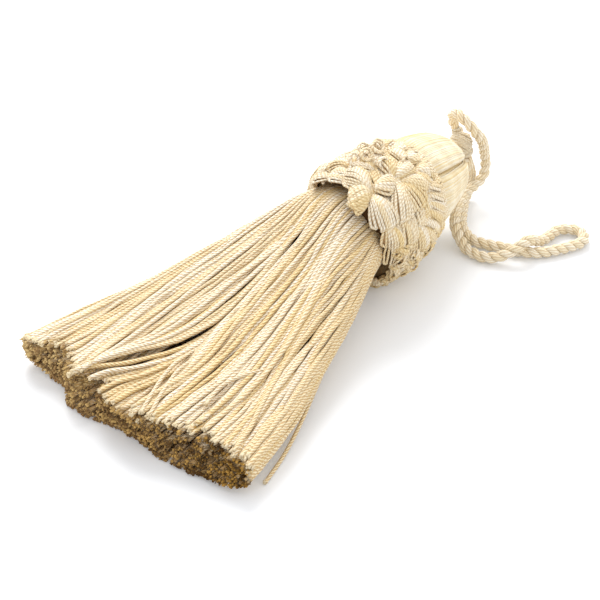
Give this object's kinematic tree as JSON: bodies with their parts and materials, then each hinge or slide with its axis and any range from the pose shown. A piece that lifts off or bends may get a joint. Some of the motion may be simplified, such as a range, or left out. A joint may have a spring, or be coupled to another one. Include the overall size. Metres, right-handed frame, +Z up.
{
  "type": "key tassel",
  "caption": "Key tassel with a fanned skirt of plied yarn, a crocheted collar, a bulb head and a knotted hanging loop, lying flat.",
  "frame": {"origin": "on the surface that the tassel lies on, under the middle of the tassel without its hanging cord", "axes": "+X along the tassel from the skirt's cut end to the head, +Y across it, +Z up from the surface"},
  "size_m": [0.1339, 0.0697, 0.032],
  "materials": {
    "yarn": "plied cotton and viscose yarn, cream and beige mixed, soft sheen",
    "floss": "fine pale cream yarn laid lengthwise, soft sheen",
    "crochet": "crocheted thread, cream and beige, soft sheen",
    "twine": "two-ply twisted cord, cream and beige"
  },
  "bodies": {
    "root": {"skirt": "yarn", "head": "floss", "ruff": "crochet", "top_knot": "twine", "hanging_cord": "twine"}
  },
  "joints": []
}
